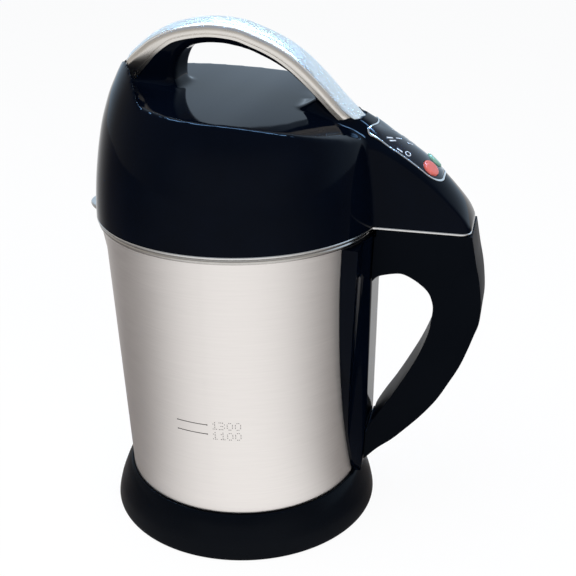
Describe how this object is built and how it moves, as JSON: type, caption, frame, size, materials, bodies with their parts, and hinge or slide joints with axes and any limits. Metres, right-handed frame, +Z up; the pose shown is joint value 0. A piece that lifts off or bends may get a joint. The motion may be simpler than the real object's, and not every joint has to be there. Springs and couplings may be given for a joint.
{
  "type": "soy milk maker",
  "caption": "Countertop soy milk maker: a heated stainless mug with a spout and handle, closed by a lift-off head that carries the motor, blade, probes and buttons.",
  "frame": {"origin": "on the floor, under the middle of the overall box", "axes": "+Z up; +X towards the handle, with the spout towards -X; -Y is the front, the side with the level marks; +Y is the side with the mains inlet"},
  "size_m": [0.2475, 0.1742, 0.3133],
  "materials": {
    "brushed_stainless": "satin",
    "polished_stainless": "polished",
    "gloss_black_abs": "gloss",
    "black_abs": "matte",
    "foot_rubber": "matte",
    "zinc_steel": "satin",
    "cast_aluminium": "satin",
    "phenolic": "satin",
    "brass_contact": "polished",
    "wire_insulation": "matte",
    "chromed_trim": "polished",
    "panel_black": "gloss",
    "circuit_board": "satin",
    "silicone": "matte",
    "winding_copper": "satin",
    "fan_plastic": "matte",
    "button_red": "satin",
    "button_green": "satin"
  },
  "bodies": {
    "mug": {"mug_shell": "brushed_stainless", "base_ring": "gloss_black_abs", "base_plate": "black_abs", "foot_1": "foot_rubber", "foot_2": "foot_rubber", "foot_3": "foot_rubber", "foot_4": "foot_rubber", "base_screw_1": "zinc_steel", "base_screw_2": "zinc_steel", "base_screw_3": "zinc_steel", "heater_plate": "cast_aluminium", "heater_ring": "zinc_steel", "thermostat": "phenolic", "mains_inlet": "phenolic", "inlet_pin_1": "brass_contact", "inlet_pin_2": "brass_contact", "inlet_pin_3": "brass_contact", "handle_strap": "gloss_black_abs", "handle_grip": "gloss_black_abs", "coupler_socket": "phenolic", "handle_screw_lower": "zinc_steel", "handle_screw_upper": "zinc_steel", "handle_wiring": "wire_insulation"},
    "head": {"head_shell": "gloss_black_abs", "head_trim": "chromed_trim", "arch_strip": "chromed_trim", "panel_plate": "panel_black", "panel_frame": "chromed_trim", "control_board": "circuit_board", "start_switch": "phenolic", "function_switch": "phenolic", "tail_cover": "black_abs", "coupler_plug": "phenolic", "coupler_pin_1": "brass_contact", "coupler_pin_2": "brass_contact", "coupler_pin_3": "brass_contact", "lower_housing": "gloss_black_abs", "head_seal": "silicone", "overflow_probe": "polished_stainless", "temperature_probe": "polished_stainless", "head_screw_1": "polished_stainless", "head_screw_2": "polished_stainless", "head_screw_3": "polished_stainless", "motor_sleeve": "brushed_stainless", "lower_bearing": "zinc_steel", "upper_bearing": "zinc_steel", "shaft_seal": "silicone", "motor_can": "zinc_steel", "motor_stator": "winding_copper", "motor_bracket": "cast_aluminium", "blade_guard": "brushed_stainless", "power_board": "circuit_board", "transformer": "zinc_steel"},
    "rotor": {"motor_shaft": "zinc_steel", "rotor_core": "zinc_steel", "blade": "polished_stainless", "blade_nut": "polished_stainless", "cooling_fan": "fan_plastic"},
    "start_button": {"start_button": "button_red"},
    "function_button": {"function_button": "button_green"}
  },
  "joints": [
    {"name": "head_lift", "type": "slide", "parent": "mug", "child": "head", "axis": [0, 0, 1], "range_m": [0, 0.18]},
    {"name": "rotor_spin", "type": "hinge", "parent": "head", "child": "rotor", "pos_m": [-0.026, 0, 0.1], "axis": [0, 0, 1], "continuous": true},
    {"name": "start_press", "type": "slide", "parent": "head", "child": "start_button", "axis": [-0.6305, 0.2252, -0.7428], "range_m": [0, 0.0008], "stiffness_N_per_m": 600},
    {"name": "function_press", "type": "slide", "parent": "head", "child": "function_button", "axis": [-0.6305, -0.2252, -0.7428], "range_m": [0, 0.0008], "stiffness_N_per_m": 600}
  ]
}
